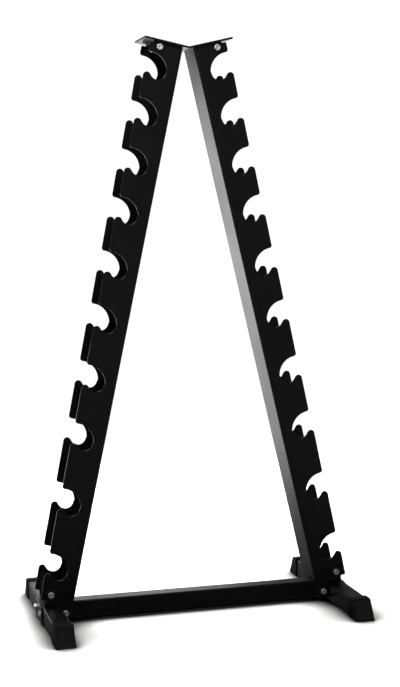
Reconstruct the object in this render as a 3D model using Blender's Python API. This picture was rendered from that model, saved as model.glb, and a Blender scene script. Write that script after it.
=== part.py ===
"""Free-standing A-frame dumbbell rack: two notched uprights, a V-bent top plate, a crossbar and two feet.

The origin is on the floor under the middle of the rack.  X runs along the crossbar, Y from front to back with
the front at -Y, and Z is up.  Lengths are in millimetres until a mesh is written, which is in metres.
"""

from math import atan2, cos, hypot, pi, radians, sin

import bmesh
import bpy

MM = 0.001
GAP = 0.3

# uprights: channels of folded sheet, web towards the middle, flanges outwards
LEAN = 0.2194
WEB_FOOT_X = 300.95
CHANNEL_DEPTH = 92.8
FLANGE_WIDTH = 77.0
SHEET = 3.0
BEND_RADIUS = 4.5
UPRIGHT_TOP = 1327.0
UPRIGHT_TAIL_Z = 8.0
TAIL_OUTER_X = 319.8
FOOT_CUT = 44.5
TOP_RELIEF = 3.0

# the notches, measured along the upright (tip of each hook) and outward from the web
LOWEST_TIP = 104.1
PITCHES = (150.3, 151.5, 135.1, 134.9, 124.5, 125.2, 112.1, 112.9, 105.1)
MOUTH = 46.3
LIP_RADIUS = 3.0
ARCH_CENTRE = (69.1, 3.2)
ARCH_RADIUS = 43.1
ARCH_END = radians(169.2)
SEAT_CENTRE = (46.0, 6.2)
SEAT_RADIUS = 18.0
SEAT_START = radians(194.8)
HEAD_RADIUS = 7.7

# top plate
PLATE_HALF_X = 100.7
PLATE_HALF_Y = 56.0
PLATE_THICK = 4.6
PLATE_UNDER = UPRIGHT_TOP + GAP

# feet, crossbar and shoes
TUBE = 40.0
TUBE_WALL = 2.0
TUBE_RADIUS = 3.0
TUBE_FLOOR = 3.0
FOOT_X = 341.6
FOOT_HALF_Y = 205.0
SHOE_SIDE = 2.5
SHOE_TOP = 45.6
SHOE_RIM_Y = 188.0
SHOE_TOP_Y = 213.5
SHOE_TOE_Y = 238.5
BRACKET = 3.0
BACK_PLATE = 4.0
SIDE_PLATE_HALF_Y = 46.0

# M8 hexagon fasteners
BOLT_RADIUS = 4.0
HOLE_RADIUS = 4.3
ACROSS_FLATS = 13.0
HEAD_HEIGHT = 5.3
NUT_HEIGHT = 6.5
TOP_BOLT = (53.4, 1316.0)
SADDLE_BOLT = (342.0, 68.0)
END_BOLT = (310.0, 23.0)
SIDE_BOLT_Y = 35.0

ROUND = 24
CORNER_STEPS = 4


def clear_scene():
    for obj in list(bpy.data.objects):
        bpy.data.objects.remove(obj, do_unlink=True)


def principled(name, colour, metallic, roughness):
    material = bpy.data.materials.new(name)
    material.use_nodes = True
    shader = material.node_tree.nodes["Principled BSDF"]
    shader.inputs["Base Color"].default_value = (*colour, 1.0)
    shader.inputs["Metallic"].default_value = metallic
    shader.inputs["Roughness"].default_value = roughness
    material.diffuse_color = (*colour, 1.0)
    return material


def arc(centre, radius, start, end, steps):
    """Points on a circle from the angle start to the angle end, both included."""
    angles = [start + (end - start) * i / steps for i in range(steps + 1)]
    return [(centre[0] + radius * cos(t), centre[1] + radius * sin(t)) for t in angles]


def place(side, w, a):
    """World (x, z) of a point w outward from the web and a up along the upright, on the side -1 or 1."""
    x = WEB_FOOT_X - a * sin(LEAN) + w * cos(LEAN)
    return side * x, a * cos(LEAN) + w * sin(LEAN)


def rounded_rectangle(x0, x1, y0, y1, radius, steps=CORNER_STEPS):
    """The outline of a rectangle with round corners, anticlockwise from its lower right corner."""
    centres = (
        (x1 - radius, y0 + radius, -pi / 2),
        (x1 - radius, y1 - radius, 0.0),
        (x0 + radius, y1 - radius, pi / 2),
        (x0 + radius, y0 + radius, pi),
    )
    points = []
    for cx, cy, start in centres:
        points += arc((cx, cy), radius, start, start + pi / 2, steps)
    return points


def add_object(name, vertices, faces, material):
    mesh = bpy.data.meshes.new(name)
    mesh.from_pydata([(x * MM, y * MM, z * MM) for x, y, z in vertices], [], faces)
    shape = bmesh.new()
    shape.from_mesh(mesh)
    bmesh.ops.recalc_face_normals(shape, faces=shape.faces)
    shape.to_mesh(mesh)
    shape.free()
    obj = bpy.data.objects.new(name, mesh)
    bpy.context.scene.collection.objects.link(obj)
    if material:
        mesh.materials.append(material)
        mesh.shade_smooth()
        mesh.set_sharp_from_angle(angle=pi / 6)
    return obj


def loft(name, rings, material, closed=False):
    """Rings with the same number of points joined one after another, then capped or joined end to end."""
    count = len(rings[0])
    vertices = [point for ring in rings for point in ring]
    faces = []
    for level in range(len(rings) if closed else len(rings) - 1):
        low = level * count
        high = (level + 1) % len(rings) * count
        for i in range(count):
            j = (i + 1) % count
            faces.append((low + i, low + j, high + j, high + i))
    if not closed:
        faces.append(tuple(range(count)))
        faces.append(tuple(range(len(vertices) - count, len(vertices))))
    return add_object(name, vertices, faces, material)


def prism(name, outline, y0, y1, material):
    """An outline in X and Z carried from y0 to y1."""
    rings = [[(x, y, z) for x, z in outline] for y in (y0, y1)]
    return loft(name, rings, material)


def box(name, low, high, material=None):
    outline = ((low[0], low[2]), (high[0], low[2]), (high[0], high[2]), (low[0], high[2]))
    return prism(name, outline, low[1], high[1], material)


def cylinder(name, axis, centre, low, high, radius):
    """A round cutter along X or Y through a point (x, z) or (y, z)."""
    circle = arc(centre, radius, 0.0, 2 * pi * (ROUND - 1) / ROUND, ROUND - 1)
    if axis == "Y":
        rings = [[(u, level, v) for u, v in circle] for level in (low, high)]
    else:
        rings = [[(level, u, v) for u, v in circle] for level in (low, high)]
    return loft(name, rings, None)


def combine(obj, tool, operation):
    """A Boolean of obj with a hidden tool."""
    tool.hide_render = True
    tool.display_type = "WIRE"
    modifier = obj.modifiers.new(tool.name, "BOOLEAN")
    modifier.operation = operation
    modifier.solver = "EXACT"
    modifier.object = tool


def hexagon(radius_flat, angle):
    return radius_flat / cos((angle + pi / 6) % (pi / 3) - pi / 6)


def turned(spec, origin, direction):
    """Rings about an axis from a point: each entry of spec is (distance, radius, True for a hexagon)."""
    rings = []
    for distance, radius, is_hexagon in spec:
        ring = []
        for i in range(ROUND):
            angle = 2 * pi * i / ROUND
            reach = hexagon(radius, angle) if is_hexagon else radius
            u = reach * cos(angle)
            v = reach * sin(angle)
            if direction[1]:
                ring.append((origin[0] + u, origin[1] + distance * direction[1], origin[2] + v))
            else:
                ring.append((origin[0] + distance * direction[0], origin[1] + u, origin[2] + v))
        rings.append(ring)
    return rings


def bolt(name, origin, direction, length, material):
    """A hexagon bolt: origin is under the head, direction points from the head along the shank."""
    half = ACROSS_FLATS / 2
    spec = (
        (-HEAD_HEIGHT, half * 0.95, False),
        (-HEAD_HEIGHT + 1.0, half, True),
        (0.0, half, True),
        (0.0, BOLT_RADIUS, False),
        (length - 1.0, BOLT_RADIUS, False),
        (length, BOLT_RADIUS - 0.8, False),
    )
    return loft(name, turned(spec, origin, direction), material)


def nut(name, origin, direction, material):
    half = ACROSS_FLATS / 2
    spec = (
        (0.0, HOLE_RADIUS, False),
        (0.0, half, True),
        (NUT_HEIGHT - 1.0, half, True),
        (NUT_HEIGHT, half * 0.95, False),
        (NUT_HEIGHT, HOLE_RADIUS, False),
    )
    return loft(name, turned(spec, origin, direction), material, closed=True)


def tip_positions():
    tips = [LOWEST_TIP]
    for pitch in PITCHES:
        tips.append(tips[-1] + pitch)
    return tips


def notch_outline(tip):
    """One notch from its hook up to its lip, as points (w, a): a round hook head, a seat and an arch."""
    head_centre = (FLANGE_WIDTH - HEAD_RADIUS, -HEAD_RADIUS)
    dx = head_centre[0] - SEAT_CENTRE[0]
    dy = SEAT_CENTRE[1] - head_centre[1]
    reach = (SEAT_RADIUS + HEAD_RADIUS) / hypot(dx, dy)
    slope = atan2(dx, dy) - atan2((1 - reach * reach) ** 0.5, reach)
    lip_centre = (FLANGE_WIDTH - LIP_RADIUS, MOUTH + LIP_RADIUS)
    points = arc(head_centre, HEAD_RADIUS, 0.0, slope + pi / 2, 7)
    points += arc(SEAT_CENTRE, SEAT_RADIUS, slope + 1.5 * pi, SEAT_START, 9)
    points += arc(ARCH_CENTRE, ARCH_RADIUS, ARCH_END, pi / 2, 10)
    points += arc(lip_centre, LIP_RADIUS, -pi / 2, 0.0, 3)
    return [(w, tip + up) for w, up in points]


def channel_section():
    """The U of the folded channel as points (w, y), running past the flanges' outer edges."""
    half = CHANNEL_DEPTH / 2
    far = FLANGE_WIDTH + 40.0
    inner = BEND_RADIUS - SHEET
    low = -half + BEND_RADIUS
    high = half - BEND_RADIUS
    outside = [(far, -half)] + arc((BEND_RADIUS, low), BEND_RADIUS, 1.5 * pi, pi, CORNER_STEPS)
    outside += arc((BEND_RADIUS, high), BEND_RADIUS, pi, pi / 2, CORNER_STEPS) + [(far, half)]
    inside = [(far, half - SHEET)] + arc((BEND_RADIUS, high), inner, pi / 2, pi, CORNER_STEPS)
    inside += arc((BEND_RADIUS, low), inner, pi, 1.5 * pi, CORNER_STEPS) + [(far, -half + SHEET)]
    return outside + inside


def upright_outline(side):
    """The side view of an upright in world (x, z), with the notched outer edge, the foot cut and the tail."""
    foot_w = (TAIL_OUTER_X - WEB_FOOT_X + FOOT_CUT * sin(LEAN)) / cos(LEAN)
    points = [(side * 240.0, UPRIGHT_TAIL_Z), (side * TAIL_OUTER_X, UPRIGHT_TAIL_Z)]
    points.append(place(side, foot_w, FOOT_CUT))
    corner = arc((FLANGE_WIDTH - 3.0, FOOT_CUT + 3.0), 3.0, -pi / 2, 0.0, 3)
    points += [place(side, w, a) for w, a in corner]
    for tip in tip_positions():
        points += [place(side, w, a) for w, a in notch_outline(tip)]
    points.append(place(side, FLANGE_WIDTH, UPRIGHT_TOP - TOP_RELIEF))
    points.append(place(side, FLANGE_WIDTH - 11.0, UPRIGHT_TOP - TOP_RELIEF))
    points.append(place(side, FLANGE_WIDTH - 15.0, UPRIGHT_TOP))
    points.append(place(side, -20.0, UPRIGHT_TOP))
    return points


def upright(label, side, material):
    rings = []
    for a in (-120.0, UPRIGHT_TOP + 80.0):
        ring = []
        for w, y in channel_section():
            x, z = place(side, w, a)
            ring.append((x, y, z))
        rings.append(ring)
    body = loft(f"{label}_upright", rings, material)
    combine(body, prism(f"cut_{label}_outline", upright_outline(side), -70.0, 70.0, None), "INTERSECT")
    slot = sorted((side * 250.0, side * 318.0))
    half = TUBE / 2 + 0.5
    slot_top = TUBE_FLOOR + TUBE + 0.5
    combine(body, box(f"cut_{label}_slot", (slot[0], -half, -20.0), (slot[1], half, slot_top)), "DIFFERENCE")
    for index, (x, z) in enumerate(flange_bolts(side)):
        hole = cylinder(f"cut_{label}_hole_{index}", "Y", (x, z), -70.0, 70.0, HOLE_RADIUS)
        combine(body, hole, "DIFFERENCE")
    return body


def flange_bolts(side):
    """World (x, z) of the three bolts through each flange: top, saddle and crossbar end."""
    return (
        place(side, *TOP_BOLT),
        (side * SADDLE_BOLT[0], SADDLE_BOLT[1]),
        (side * END_BOLT[0], END_BOLT[1]),
    )


def top_plate(material):
    """One strip bent to a shallow V whose two wings are square to the uprights."""
    rise = sin(LEAN) / cos(LEAN)
    tip_w = (PLATE_HALF_X - WEB_FOOT_X + (PLATE_UNDER + PLATE_THICK) * sin(LEAN)) / cos(LEAN)
    tip_top = place(1, tip_w, PLATE_UNDER + PLATE_THICK)
    tip_under = place(1, tip_w, PLATE_UNDER)
    bend_top = tip_top[1] - tip_top[0] * rise
    bend_under = tip_under[1] - tip_under[0] * rise
    soft = 5.0
    outline = [(soft, bend_under + soft * rise), tip_under, tip_top, (soft, bend_top + soft * rise)]
    outline += [(0.0, bend_top + soft * rise * 0.5), (-soft, bend_top + soft * rise)]
    outline += [(-tip_top[0], tip_top[1]), (-tip_under[0], tip_under[1]), (-soft, bend_under + soft * rise)]
    outline.append((0.0, bend_under + soft * rise * 0.5))
    return prism("top_plate", outline, -PLATE_HALF_Y, PLATE_HALF_Y, material)


def u_bracket(name, outline, cut_low, cut_high, half_y, material):
    """A block with a side outline in (x, z), hollowed by a box so that two ears and one wall are left."""
    body = prism(name, outline, -half_y, half_y, material)
    hollow = half_y - BRACKET
    space = box(f"cut_{name}", (cut_low[0], -hollow, cut_low[1]), (cut_high[0], hollow, cut_high[1]))
    combine(body, space, "DIFFERENCE")
    return body


def top_bracket(label, side, material):
    """A U of sheet in the channel: its roof is under the plate and its ears take the bolt."""
    low = 1303.5
    roof = UPRIGHT_TOP - BRACKET
    wall = [(68.0, low), (68.0, UPRIGHT_TOP), (14.0, UPRIGHT_TOP), (14.0, roof - 6.0), (39.0, low)]
    half = CHANNEL_DEPTH / 2 - SHEET - GAP
    body = prism(f"{label}_top_bracket", [place(side, w, a) for w, a in wall], -half, half, material)
    space = [(90.0, low - 30.0), (90.0, roof), (-20.0, roof), (-20.0, low - 30.0)]
    inner = half - BRACKET
    hollow = prism(f"cut_{label}_top_bracket", [place(side, w, a) for w, a in space], -inner, inner, None)
    combine(body, hollow, "DIFFERENCE")
    x, z = place(side, *TOP_BOLT)
    combine(body, cylinder(f"cut_{label}_top_bore", "Y", (x, z), -70.0, 70.0, HOLE_RADIUS), "DIFFERENCE")
    return body


def foot_saddle(label, side, material):
    """A U bracket standing on the foot, with ears up inside the channel."""
    x0 = 328.0
    x1 = 356.0
    z0 = TUBE_FLOOR + TUBE + GAP
    z1 = 80.0
    radius = 7.0
    outline = [(x0, z0), (x1, z0)]
    outline += arc((x1 - radius, z1 - radius), radius, 0.0, pi / 2, CORNER_STEPS)
    outline += arc((x0 + radius, z1 - radius), radius, pi / 2, pi, CORNER_STEPS)
    outline = [(side * x, z) for x, z in outline]
    ends = sorted((side * (x0 - 20.0), side * (x1 + 20.0)))
    half = CHANNEL_DEPTH / 2 - SHEET - GAP
    name = f"{label}_foot_saddle"
    body = u_bracket(name, outline, (ends[0], z0 + BRACKET), (ends[1], z1 + 20.0), half, material)
    centre = (side * SADDLE_BOLT[0], SADDLE_BOLT[1])
    bore = cylinder(f"cut_{label}_saddle_bore", "Y", centre, -70.0, 70.0, HOLE_RADIUS)
    combine(body, bore, "DIFFERENCE")
    return body


def crossbar_bracket(label, side, material):
    """A U bracket at the crossbar's end: a back plate against the foot and ears inside the channel's tail."""
    x0 = 305.0
    x1 = FOOT_X - TUBE / 2 - GAP
    z0 = 9.0
    z1 = 40.0
    outline = [(side * x0, z0), (side * x1, z0), (side * x1, z1), (side * x0, z1)]
    ends = sorted((side * (x0 - 20.0), side * (x1 - BACK_PLATE)))
    half = CHANNEL_DEPTH / 2 - SHEET - GAP
    name = f"{label}_crossbar_bracket"
    body = u_bracket(name, outline, (ends[0], z0 - 20.0), (ends[1], z1 + 20.0), half, material)
    centre = (side * END_BOLT[0], END_BOLT[1])
    bore = cylinder(f"cut_{label}_end_bore", "Y", centre, -70.0, 70.0, HOLE_RADIUS)
    combine(body, bore, "DIFFERENCE")
    drill_side(body, label, side, "plate", (x1 - BACK_PLATE - 10.0, x1 + 10.0))
    return body


def drill_side(body, label, side, tag, span):
    """Two holes along X for the bolts that clamp the foot between its plates."""
    low, high = sorted((side * span[0], side * span[1]))
    for place_name, y in (("front", -SIDE_BOLT_Y), ("rear", SIDE_BOLT_Y)):
        tool = cylinder(f"cut_{label}_{tag}_{place_name}", "X", (y, END_BOLT[1]), low, high, HOLE_RADIUS)
        combine(body, tool, "DIFFERENCE")


def square_tube(name, centre, half_length, axis, material):
    """A hollow square tube with round corners, open at both ends; centre is (u, v) across its axis."""
    half = TUBE / 2
    inner = half - TUBE_WALL
    outer_loop = rounded_rectangle(-half, half, -half, half, TUBE_RADIUS)
    inner_loop = rounded_rectangle(-inner, inner, -inner, inner, TUBE_RADIUS - TUBE_WALL)
    rings = []
    for loop, end in ((outer_loop, -1), (outer_loop, 1), (inner_loop, 1), (inner_loop, -1)):
        if axis == "X":
            rings.append([(end * half_length, centre[0] + u, centre[1] + v) for u, v in loop])
        else:
            rings.append([(centre[0] + u, end * half_length, centre[1] + v) for u, v in loop])
    return loft(name, rings, material, closed=True)


def shoe(name, side, end, material):
    """A rubber shoe over a foot's end: a pocket for the tube, and a toe that leans out to the floor."""
    centre = side * FOOT_X
    half = TUBE / 2 + SHOE_SIDE
    pocket = TUBE / 2 + GAP
    middle = TUBE_FLOOR + TUBE / 2

    def toe_y(z):
        return end * (SHOE_TOE_Y + (SHOE_TOP_Y - SHOE_TOE_Y) * z / SHOE_TOP)

    outer = rounded_rectangle(centre - half, centre + half, 0.0, SHOE_TOP, TUBE_RADIUS)
    inset = rounded_rectangle(centre - half + 1.5, centre + half - 1.5, 1.5, SHOE_TOP - 1.5, TUBE_RADIUS - 1.0)
    inner = rounded_rectangle(centre - pocket, centre + pocket, middle - pocket, middle + pocket, TUBE_RADIUS)
    floor_y = end * (FOOT_HALF_Y + GAP)
    rim_y = end * SHOE_RIM_Y
    rings = [
        [(x, floor_y, z) for x, z in inner],
        [(x, rim_y, z) for x, z in inner],
        [(x, rim_y, z) for x, z in outer],
        [(x, toe_y(z) - end * 1.5, z) for x, z in outer],
        [(x, toe_y(z), z) for x, z in inset],
    ]
    return loft(name, rings, material)


def foot(label, side, coat, rubber):
    tube = square_tube(f"{label}_foot", (side * FOOT_X, TUBE_FLOOR + TUBE / 2), FOOT_HALF_Y, "Y", coat)
    drill_side(tube, label, side, "tube", (FOOT_X - TUBE, FOOT_X + TUBE))
    x0 = FOOT_X + TUBE / 2 + GAP
    low, high = sorted((side * x0, side * (x0 + SHEET)))
    reach = SIDE_PLATE_HALF_Y
    plate = box(f"{label}_side_plate", (low, -reach, 4.0), (high, reach, 42.0), coat)
    drill_side(plate, label, side, "outer", (x0 - 10.0, x0 + SHEET + 10.0))
    for end_name, end in (("front", -1), ("rear", 1)):
        shoe(f"{label}_{end_name}_shoe", side, end, rubber)


def through_bolt(label, tag, x, z, steel):
    """A bolt with its head on the front flange and its nut on the rear one."""
    face = CHANNEL_DEPTH / 2 + GAP
    length = 2 * face + NUT_HEIGHT + 2.5
    bolt(f"{label}_{tag}_bolt", (x, -face, z), (0, 1), length, steel)
    nut(f"{label}_{tag}_nut", (x, face, z), (0, 1), steel)


def fasteners(label, side, steel):
    top, saddle, end_point = flange_bolts(side)
    through_bolt(label, "top", *top, steel)
    through_bolt(label, "saddle", *saddle, steel)
    face = CHANNEL_DEPTH / 2 + GAP
    ear = CHANNEL_DEPTH / 2 - SHEET - GAP - BRACKET - GAP
    for end_name, end in (("front", -1), ("rear", 1)):
        x, z = end_point
        length = face - ear + NUT_HEIGHT + 2.0
        bolt(f"{label}_end_bolt_{end_name}", (x, end * face, z), (0, -end), length, steel)
        nut(f"{label}_end_nut_{end_name}", (x, end * ear, z), (0, -end), steel)
        outer = FOOT_X + TUBE / 2 + GAP + SHEET + GAP
        length = outer - (FOOT_X - TUBE / 2 - GAP - BACK_PLATE)
        start = (side * outer, end * SIDE_BOLT_Y, END_BOLT[1])
        bolt(f"{label}_side_bolt_{end_name}", start, (-side, 0), length, steel)


def build():
    clear_scene()
    coat = principled("black powder coat", (0.012, 0.012, 0.013), 0.0, 0.35)
    rubber = principled("black rubber", (0.014, 0.014, 0.014), 0.0, 0.6)
    steel = principled("zinc-plated steel", (0.62, 0.62, 0.60), 1.0, 0.3)
    for label, side in (("left", -1), ("right", 1)):
        upright(label, side, coat)
        top_bracket(label, side, coat)
        foot_saddle(label, side, coat)
        crossbar_bracket(label, side, coat)
        foot(label, side, coat, rubber)
        fasteners(label, side, steel)
    top_plate(coat)
    bar_half = FOOT_X - TUBE / 2 - GAP - BACK_PLATE - GAP
    square_tube("crossbar", (0.0, TUBE_FLOOR + TUBE / 2), bar_half, "X", coat)


build()
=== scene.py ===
"""Finish of a free-standing A-frame dumbbell rack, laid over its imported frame.

The frame holds the sizes and places.  This file draws each piece again as rounded, coated sheet, tube,
moulded rubber or plated hardware, and sets up a plain studio.  Sizes are in metres, X runs along the
crossbar and -Y to the front.
"""

import math

import bpy
import numpy as np
from mathutils import Matrix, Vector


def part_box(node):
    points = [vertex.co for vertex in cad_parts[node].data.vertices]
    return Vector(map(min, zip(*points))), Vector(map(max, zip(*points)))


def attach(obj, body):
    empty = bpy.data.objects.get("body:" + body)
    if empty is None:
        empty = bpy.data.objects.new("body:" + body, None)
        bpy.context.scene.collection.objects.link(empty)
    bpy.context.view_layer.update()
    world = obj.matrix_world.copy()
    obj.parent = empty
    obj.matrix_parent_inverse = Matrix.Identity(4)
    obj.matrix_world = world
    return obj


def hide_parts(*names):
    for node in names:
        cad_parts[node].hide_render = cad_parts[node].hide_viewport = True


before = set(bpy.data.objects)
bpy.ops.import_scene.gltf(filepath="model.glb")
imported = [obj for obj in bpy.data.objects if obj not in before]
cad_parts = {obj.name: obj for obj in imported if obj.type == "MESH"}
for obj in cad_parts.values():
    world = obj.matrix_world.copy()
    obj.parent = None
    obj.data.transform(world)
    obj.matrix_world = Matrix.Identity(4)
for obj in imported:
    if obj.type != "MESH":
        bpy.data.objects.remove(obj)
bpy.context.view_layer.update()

bl_info = {
    "name": "Dumbbell rack finish",
    "version": (1, 0, 0),
    "blender": (4, 5, 0),
    "location": "View3D > Sidebar > Rack",
    "description": "Draws the sheet, tube, rubber and hardware of an A-frame dumbbell rack over its frame",
    "category": "Object",
}

MM = 0.001
SIDES = (("left", -1), ("right", 1))
ENDS = (("front", -1), ("rear", 1))
AXIS_X = np.array((1.0, 0.0, 0.0))
AXIS_Y = np.array((0.0, 1.0, 0.0))
AXIS_Z = np.array((0.0, 0.0, 1.0))
SHARP_ANGLE = math.radians(28)
STRAIGHT = 1.55  # a corner whose half angle is wider than this has nothing to round
# how high a bolt's head stands, and the flat part of a hexagon's crown as a share of its width
BOLT_HEAD = 5.3 * MM
CROWN = 0.93
# brighter than white, so that the floor and the room behind it come out even
WHITE = 1.1


# ---- settings


def metres(name, description, default):
    """A size in metres that a user can change."""
    return bpy.props.FloatProperty(name=name, description=description, default=default, unit="LENGTH")


class RackUprightSettings(bpy.types.PropertyGroup):
    """The folded, notched channels, and the brackets folded from the same sheet."""

    lean: bpy.props.FloatProperty(
        name="Lean", description="Angle of an upright from the vertical", default=0.2194, subtype="ANGLE"
    )
    web_foot: metres("Web foot", "Where the web's line meets the floor", 0.30095)
    flange: metres("Flange width", "From the web's face to the flange's edge", 0.077)
    sheet: metres("Sheet", "Thickness of the steel sheet", 0.003)
    bend: metres("Bend radius", "Outer radius of the folds", 0.0045)
    edge: metres("Edge radius", "Rounding that the coat gives a cut edge", 0.0005)
    length: metres("Length", "From the floor line to the upright's top", 1.327)
    lowest_tip: metres("Lowest hook", "Height of the lowest hook's tip along the upright", 0.1041)
    pitches: bpy.props.FloatVectorProperty(
        name="Pitches",
        description="Steps from one hook to the next, from the lowest up",
        size=9,
        default=(0.1503, 0.1515, 0.1351, 0.1349, 0.1245, 0.1252, 0.1121, 0.1129, 0.1051),
        unit="LENGTH",
    )
    mouth: metres("Mouth", "Height of a notch's mouth above the hook's tip", 0.0463)
    head_radius: metres("Hook radius", "Radius of a hook's round head", 0.0086)
    bulge: metres("Bulge", "How far a hook's head stands out past the flange's edge", 0.0012)
    seat_radius: metres("Seat radius", "Radius of the seat that holds a handle", 0.018)
    arch_radius: metres("Arch radius", "Radius of the arch over a seat", 0.0431)
    lip_radius: metres("Lip radius", "Rounding of the corner over a mouth", 0.0062)


class RackFootSettings(bpy.types.PropertyGroup):
    """The square tubes and their rubber shoes."""

    corner: metres("Tube corner", "Outer corner radius of the square tubes", 0.0032)
    wall: metres("Tube wall", "Wall thickness of the square tubes", 0.002)
    toe_lean: metres("Toe lean", "How far a toe runs out from its top to the floor", 0.028)
    toe_round: metres("Toe rounding", "Rounding round a shoe's toe", 0.0011)
    rib_pitch: metres("Rib pitch", "Spacing of the fine ribs on a toe", 0.005)


class RackHardwareSettings(bpy.types.PropertyGroup):
    """M8 hexagon bolts and nuts."""

    across_flats: metres("Across flats", "Width of a hexagon across its flats", 0.013)
    thread: metres("Thread diameter", "Outer diameter of the thread", 0.008)
    thread_pitch: metres("Thread pitch", "Distance from one thread to the next", 0.00125)
    chamfer: bpy.props.FloatProperty(
        name="Chamfer", description="Slope of the cone that trims the corners",
        default=math.radians(30), subtype="ANGLE",
    )


class RackFinishSettings(bpy.types.PropertyGroup):
    """Colours as sRGB hex, and how glossy each finish is."""

    coat_hex: bpy.props.StringProperty(
        name="Powder coat", description="Colour of the powder coat", default="#090909"
    )
    coat_roughness: bpy.props.FloatProperty(
        name="Coat roughness", description="Satin powder coat is about 0.3", default=0.3, subtype="FACTOR"
    )
    rubber_hex: bpy.props.StringProperty(
        name="Rubber", description="Colour of the moulded rubber", default="#060606"
    )
    zinc_hex: bpy.props.StringProperty(
        name="Zinc", description="Colour of the zinc plating", default="#E4E4E1"
    )


class RackStageSettings(bpy.types.PropertyGroup):
    """A plain pale floor, soft light and a camera."""

    floor_hex: bpy.props.StringProperty(
        name="Floor", description="Colour of the floor", default="#F2F2F1"
    )
    floor_size: metres("Floor size", "Width of the floor", 60.0)
    # how far and how deep ambient occlusion darkens the floor's colour: a painted contact shadow
    contact: metres("Contact shade", "How far a piece darkens the floor round it", 0.085)
    contact_depth: bpy.props.FloatProperty(
        name="Contact depth", description="How deep the shade is: 1 is faint, 6 is deep", default=3.4
    )
    camera_place: bpy.props.FloatVectorProperty(
        name="Camera", description="Where the camera stands",
        default=(-0.8175, -3.2535, 0.94), subtype="TRANSLATION",
    )
    camera_turn: bpy.props.FloatVectorProperty(
        name="Camera turn",
        description="Yaw from +Y towards +X, pitch above the level, and roll",
        default=(0.25422, -0.09416, 0.01565),
        subtype="EULER",
    )
    lens: bpy.props.FloatProperty(
        name="Lens", description="Focal length in millimetres on a 36 mm frame height", default=76.09
    )


def settings(name):
    """The scene's settings of one group."""
    return getattr(bpy.context.scene, "rack_" + name)


def add_object(name, data):
    """A new object with its data, in the scene."""
    item = bpy.data.objects.new(name, data)
    bpy.context.scene.collection.objects.link(item)
    return item


def box_corners(node):
    """The lowest and the highest corner of a frame node, as arrays."""
    low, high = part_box(node)
    return np.array(low), np.array(high)


# ---- curves


def arc(centre, radius, start, end, steps):
    """Points c + r (cos t, sin t) for t in equal steps from start to end, both included."""
    t = np.linspace(start, end, steps + 1)
    return np.stack([centre[0] + radius * np.cos(t), centre[1] + radius * np.sin(t)], axis=1)


def rounded_corners(corners, radii, steps=4):
    """A closed outline whose corners are replaced by arcs that touch both neighbouring sides.

    At a corner p with unit sides a and b and half angle h, the arc's ends lie r / tan h along each side
    and its centre r / sin h along the bisector.
    """
    corners = np.asarray(corners, float)
    radii = np.broadcast_to(radii, len(corners))
    pieces = []
    for i, point in enumerate(corners):
        a = corners[i - 1] - point
        b = corners[(i + 1) % len(corners)] - point
        a /= np.linalg.norm(a)
        b /= np.linalg.norm(b)
        half = math.acos(np.clip(a @ b, -1, 1)) / 2
        if radii[i] == 0 or half > STRAIGHT:
            pieces.append(point[None])
            continue
        middle = (a + b) / np.linalg.norm(a + b)
        centre = point + middle * radii[i] / math.sin(half)
        first = point + a * radii[i] / math.tan(half) - centre
        last = point + b * radii[i] / math.tan(half) - centre
        start = math.atan2(first[1], first[0])
        sweep = (math.atan2(last[1], last[0]) - start + math.pi) % (2 * math.pi) - math.pi
        pieces.append(arc(centre, radii[i], start, start + sweep, steps))
    return np.concatenate(pieces)


def rounded_square(half_u, half_v, radius, steps=6):
    """A rectangle about the origin with round corners, anticlockwise, and its outward normals."""
    t = np.linspace(0, math.pi / 2, steps + 1)
    turns = np.arange(4)[:, None] * math.pi / 2 + t[None, :]
    normals = np.stack([np.cos(turns), np.sin(turns)], axis=-1)
    signs = np.array(((1, 1), (-1, 1), (-1, -1), (1, -1)))[:, None, :]
    centres = signs * np.array((half_u - radius, half_v - radius))
    return (centres + radius * normals).reshape(-1, 2), normals.reshape(-1, 2)


def outward(outline):
    """An anticlockwise outline's mitres and their units.

    A mitre shifts a point by one unit off both its sides.  It is (a + b) / (1 + a . b) for the sides'
    normals a and b.
    """
    side = np.roll(outline, -1, axis=0) - outline
    side /= np.linalg.norm(side, axis=1, keepdims=True)
    after = np.stack([side[:, 1], -side[:, 0]], axis=1)
    before = np.roll(after, 1, axis=0)
    both = before + after
    mitre = both / (1 + (before * after).sum(axis=1, keepdims=True))
    return mitre, both / np.linalg.norm(both, axis=1, keepdims=True)


def rim_profile(thickness, radius, steps=3):
    """Across a cut edge from skin to skin: (inset, depth, share of the edge's normal, share of the skin's).

    Each rounding is a quarter circle: inset r (1 - sin t), depth r (1 - cos t), t from 0 to 90 degrees.
    """
    t = np.linspace(0, math.pi / 2, steps + 1)
    near = np.stack([radius * (1 - np.sin(t)), radius * (1 - np.cos(t)), np.sin(t), np.cos(t)], axis=1)
    far = near[::-1] * (1, -1, 1, -1) + (0, thickness, 0, 0)
    return np.concatenate([near, far])


# ---- meshes


def add_piece(name, points, faces, normals, finish, node, masks=None):
    """A finished piece at the origin that rides on the rack's one body and stands for one frame node."""
    make_material, slot = FINISHES[finish]
    mesh = bpy.data.meshes.new(name)
    mesh.from_pydata(points, [], faces)
    mesh.update()
    mesh.shade_smooth()
    for mask, values in (masks or {}).items():
        attribute = mesh.attributes.new(mask, "FLOAT", "POINT")
        attribute.data.foreach_set("value", np.asarray(values, np.float32))
    if normals is None:
        mesh.set_sharp_from_angle(angle=SHARP_ANGLE)
    else:
        mesh.normals_split_custom_set_from_vertices(normals)
    mesh.materials.append(bpy.data.materials.get(finish) or make_material())
    piece = add_object(name, mesh)
    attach(piece, "root")
    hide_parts(node)


def strips(rings, count, closed):
    """Quads that join each ring of count points to the next, as one array."""
    levels = np.arange(rings if closed else rings - 1)[:, None]
    i = np.arange(count)[None, :]
    j = (i + 1) % count
    low = levels * count
    high = (levels + 1) % rings * count
    return np.stack([low + i, low + j, high + j, high + i], axis=-1).reshape(-1, 4)


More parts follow.
